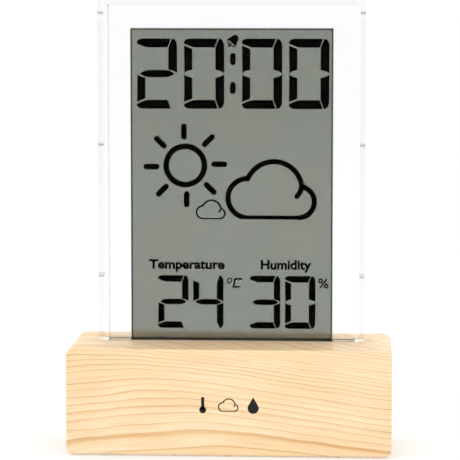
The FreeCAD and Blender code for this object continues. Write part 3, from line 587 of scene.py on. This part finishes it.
def battery_jacket():
    """Printed jacket: dark over most of the cell, copper-coloured near one end."""
    look = Look("battery_jacket", (0.03, 0.03, 0.035), 0.25, Coat_Weight=0.6, Coat_Roughness=0.1)
    place = look.place()
    x, _, z = look.split(place)
    # The upper cell's copper end is on the right, the lower cell's on the left.
    between_cells, upper_band_start, lower_band_end = 16.0, -5.5, -30.5
    lower_cell = look.math("LESS_THAN", z, between_cells)
    upper_band = look.math("GREATER_THAN", x, upper_band_start)
    lower_band = look.math("LESS_THAN", x, lower_band_end)
    copper = look.math("MAXIMUM",
                       look.times(upper_band, look.math("SUBTRACT", 1.0, lower_cell)),
                       look.times(lower_band, lower_cell))
    look.set("Base Color", look.mix(copper, (0.03, 0.032, 0.036), (0.62, 0.33, 0.14)))
    look.set("Metallic", look.times(copper, 0.9))
    look.bump(look.noise(place, 1.5, 2.0), 0.006)
    return look.material


def printed_ink(name, colour):
    """Matt ink, very slightly uneven."""
    look = Look(name, colour, 0.6, Specular_IOR_Level=0.0)
    uneven = look.noise(look.place(), 2.0, 2.0)
    lighter = tuple(c * 1.6 + 0.0004 for c in colour)
    look.set("Base Color", look.mix(look.spread(uneven, 0.3, 0.7), colour, lighter))
    return look.material


def slot_materials():
    """One material for each slot of the record."""
    return {
        "pine_film": pine_film(),
        "cover_plastic": moulded("cover_plastic", (0.80, 0.77, 0.70), 0.5, mottle=0.008),
        # The rear window's walls and tab joints get a painted grey shade.
        "clear_plastic": clear_plastic("clear_plastic", ior=1.49, outer_corner=INNER_SHELL_HIGH,
                                       painted_wall_shade=(0.93, 0.933, 0.942), painted_tab_shade=(0.93, 0.933, 0.942)),
        "lcd_glass": lcd_glass(),
        "polariser": polariser(),
        "cradle_plastic": moulded("cradle_plastic", (0.90, 0.74, 0.50), 0.5),
        "black_tape": moulded("black_tape", (0.012, 0.012, 0.011), 0.6, grain=0.5, depth=0.005),
        "black_plastic": moulded("black_plastic", (0.015, 0.015, 0.016), 0.45),
        "ribbon_film": ribbon_film(),
        "steel": steel(),
        "circuit_board": circuit_board(),
        "epoxy": moulded("epoxy", (0.01, 0.01, 0.01), 0.15, grain=2.0, depth=0.02),
        "capacitor_sleeve": moulded("capacitor_sleeve", (0.01, 0.015, 0.06), 0.3, depth=0.005),
        "sensor_case": moulded("sensor_case", (0.75, 0.75, 0.72), 0.45),
        "switch_case": moulded("switch_case", (0.02, 0.02, 0.02), 0.4),
        "plunger_plastic": moulded("plunger_plastic", (0.05, 0.05, 0.05), 0.4),
        "button_plastic": moulded("button_plastic", (0.33, 0.33, 0.32), 0.5, depth=0.012),
        "battery_jacket": battery_jacket(),
        "red_sleeve": moulded("red_sleeve", (0.55, 0.01, 0.008), 0.35, depth=0.004),
        "black_sleeve": moulded("black_sleeve", (0.012, 0.012, 0.012), 0.35, depth=0.004),
    }


MATERIALS = slot_materials()
for subpart in frame["record"]["subparts"]:
    node = frame["nodes"][subpart["node"]]
    node.data.materials.clear()
    node.data.materials.append(MATERIALS[subpart["material_slot"]])
# The front pane is coated against reflections, so that the figures behind it stay dark. Its walls get a
# painted grey shade, and its tab joints a darker painted shade.
frame["nodes"]["front_window"].data.materials[0] = clear_plastic(
    "coated_clear_plastic", ior=1.06, outer_corner=OUTER_SHELL_HIGH,
    painted_wall_shade=(0.91, 0.913, 0.925), painted_tab_shade=(0.50, 0.50, 0.51))
frame["nodes"]["lcd_edge_band"].data.materials[0] = edge_band()


# ------------------------------------------------------------------ artwork on the display

SEGMENT_INK = printed_ink("segment_ink", (0.0010, 0.0010, 0.0007))
ART_FRONT = FILM_LOW.y - 0.06 * MM
ART_THICKNESS = 0.04 * MM
# The picture sits a little to the left of the display's middle.
ART_SHIFT = (-0.4, 0.5)
LABEL_FOOT, LABEL_CAPITAL = BASE_TOP + 24.25, 3.02

display_art = {
    "clock_time": clock_time(),
    "alarm_bell": bell((0.4, BASE_TOP + 101.7), size=3.9, tilt=40),
    "weather_picture": weather_picture(),
    "readings": readings(),
    "temperature_label": word_shapes("Temperature", -28.01, -2.01, LABEL_FOOT, LABEL_CAPITAL),
    "humidity_label": word_shapes("Humidity", 10.42, 27.77, LABEL_FOOT, LABEL_CAPITAL),
    "degree_sign": degrees_celsius(-1.6, BASE_TOP + 17.75, 3.3),
    "percent_sign": percent(30.18, BASE_TOP + 17.70, 3.55, 3.38),
}
for name, shapes in display_art.items():
    centred = [moved(shape, *ART_SHIFT) for shape in shapes]
    printed(name, centred, ART_FRONT, ART_THICKNESS, "station", SEGMENT_INK)


# ------------------------------------------------------------------ marks on the base and at the back

MARK_INK = printed_ink("mark_ink", (0.02, 0.02, 0.02))
MARK_THICKNESS = 0.02 * MM
MARK_PROUD = 0.012 * MM
MARK_SPACING, MARK_MIDDLE, MARK_HEIGHT = 8.5, 17.7, 5.6
CLOUD_MARK_LEFT, CLOUD_MARK_FOOT, CLOUD_MARK_SCALE = -3.4, 15.5, 0.22

front_marks = {
    "thermometer_mark": thermometer((-MARK_SPACING, MARK_MIDDLE), MARK_HEIGHT),
    "cloud_mark": cloud(CLOUD_MARK_LEFT, CLOUD_MARK_FOOT, CLOUD_MARK_SCALE),
    "drop_mark": drop((MARK_SPACING, MARK_MIDDLE), MARK_HEIGHT),
}
for name, shapes in front_marks.items():
    printed(name, shapes, BASE_LOW.y - MARK_PROUD, MARK_THICKNESS, "station", MARK_INK)

BUTTON_MARK_PROUD, BUTTON_MARK_THICKNESS = 0.03 * MM, 0.04 * MM


def button_mark(key, middle):
    """The sign on one button: clock, up, down, bell or thermometer."""
    x, z = middle
    if key == "set":
        return clock_face(middle, radius=1.2, pen=0.36)
    if key == "up":
        return triangle(middle, width=2.2, height=1.9)
    if key == "down":
        return triangle(middle, width=2.2, height=-1.9)
    if key == "alarm":
        return bell((x, z - 0.8), size=2.6, tilt=0)
    return thermometer(middle, height=2.9)


for key in ("set", "up", "down", "alarm", "unit"):
    low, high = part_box(f"{key}_button")
    middle = ((low.x + high.x) / 2 / MM, (low.z + high.z) / 2 / MM)
    printed(f"{key}_mark", button_mark(key, middle), high.y + BUTTON_MARK_PROUD, BUTTON_MARK_THICKNESS,
            f"{key}_key", MARK_INK, facing=1)

# A raised arrow under the grip of the battery door points the way it opens.
ARROW_LEVEL, ARROW_PROUD, ARROW_THICKNESS = 15.2, 0.2 * MM, 0.25 * MM
arrow_middle = ((DOOR_LOW.x + DOOR_HIGH.x) / 2 / MM, ARROW_LEVEL)
printed("door_arrow", triangle(arrow_middle, width=5.0, height=-3.6), DOOR_HIGH.y + ARROW_PROUD,
        ARROW_THICKNESS, "door", MATERIALS["cover_plastic"], facing=1)


# ------------------------------------------------------------------ studio and camera


FLOOR_REACH = 8.0
LIGHT_AIM = (0, 0, 0.05)
LIGHT_SIDE, LIGHT_FRONT, LIGHT_HEIGHT = 0.9, -0.9, 0.7
LIGHT_SIZE, LIGHT_POWER = 0.8, 3.8
CEILING_POWER, CEILING_SPREAD = 0.85, 120
CAMERA_PLACE, CAMERA_AIM = (0.0452, -0.800, 0.1611), (0.0007, -0.020, 0.0770)
CAMERA_SENSOR, CAMERA_LENS, CAMERA_REACH = 36.0, 184.4, 30.0


def aimed(holder, place, aim):
    """Puts a lamp or camera at place, looking at aim, and adds it to the scene."""
    holder.location = place
    holder.rotation_euler = (Vector(aim) - Vector(place)).to_track_quat("-Z", "Y").to_euler()
    bpy.context.scene.collection.objects.link(holder)


def floor():
    """A large pale floor, lit from below like a light table."""
    mesh = bmesh.new()
    bmesh.ops.create_grid(mesh, x_segments=8, y_segments=8, size=FLOOR_REACH)
    data = bpy.data.meshes.new("floor")
    mesh.to_mesh(data)
    mesh.free()
    piece = bpy.data.objects.new("floor", data)
    bpy.context.scene.collection.objects.link(piece)
    look = Look("floor_paper", (0.6, 0.6, 0.6), 0.8, Specular_IOR_Level=0.1,
                Emission_Color=(1.0, 1.0, 1.0, 1.0), Emission_Strength=0.33)
    tooth = look.noise(look.place(), 0.5, 3.0)
    look.set("Base Color", look.mix(look.spread(tooth, 0.3, 0.7), (0.605, 0.605, 0.605),
                                    (0.595, 0.595, 0.595)))
    data.materials.append(look.material)


def soft_light(name, side):
    """A square area light in front of the object, on its left or right."""
    data = bpy.data.lights.new(name, "AREA")
    data.shape = "SQUARE"
    data.size = LIGHT_SIZE
    data.energy = LIGHT_POWER
    aimed(bpy.data.objects.new(name, data), (side * LIGHT_SIDE, LIGHT_FRONT, LIGHT_HEIGHT), LIGHT_AIM)


def ceiling_light():
    """A very soft light from straight above, even over the whole floor."""
    data = bpy.data.lights.new("ceiling", "SUN")
    data.energy = CEILING_POWER
    data.angle = math.radians(CEILING_SPREAD)
    bpy.context.scene.collection.objects.link(bpy.data.objects.new("ceiling", data))


def world():
    """White surroundings, less bright on the camera's side and to the left and right."""
    surroundings = bpy.data.worlds.new("studio")
    surroundings.use_nodes = True
    pattern = Pattern(surroundings.node_tree)
    x, y, _ = pattern.split(pattern.coordinate("Generated"))
    behind = pattern.spread(y, -0.6, 0.3, 0.6, 1.04, smooth=True)
    aside = pattern.spread(pattern.math("ABSOLUTE", x), 0.6, 0.95, 1.0, 0.6, smooth=True)
    background = pattern.nodes["Background"]
    pattern.feed(background.inputs["Color"], (1.0, 1.0, 1.0, 1.0))
    pattern.feed(background.inputs["Strength"], pattern.times(behind, aside))
    bpy.context.scene.world = surroundings


def camera():
    """A long lens a little above the display and to its right."""
    data = bpy.data.cameras.new("camera")
    data.sensor_width = CAMERA_SENSOR
    data.lens = CAMERA_LENS
    data.clip_end = CAMERA_REACH
    holder = bpy.data.objects.new("camera", data)
    aimed(holder, CAMERA_PLACE, CAMERA_AIM)
    bpy.context.scene.camera = holder


floor()
soft_light("left_box", -1)
soft_light("right_box", 1)
ceiling_light()
world()
camera()
scene = bpy.context.scene
scene.view_settings.view_transform = "Standard"
# A ray crosses six clear layers on its way through the display, two surfaces each.
scene.cycles.max_bounces = 24
scene.cycles.transmission_bounces = 24
scene.cycles.transparent_max_bounces = 16
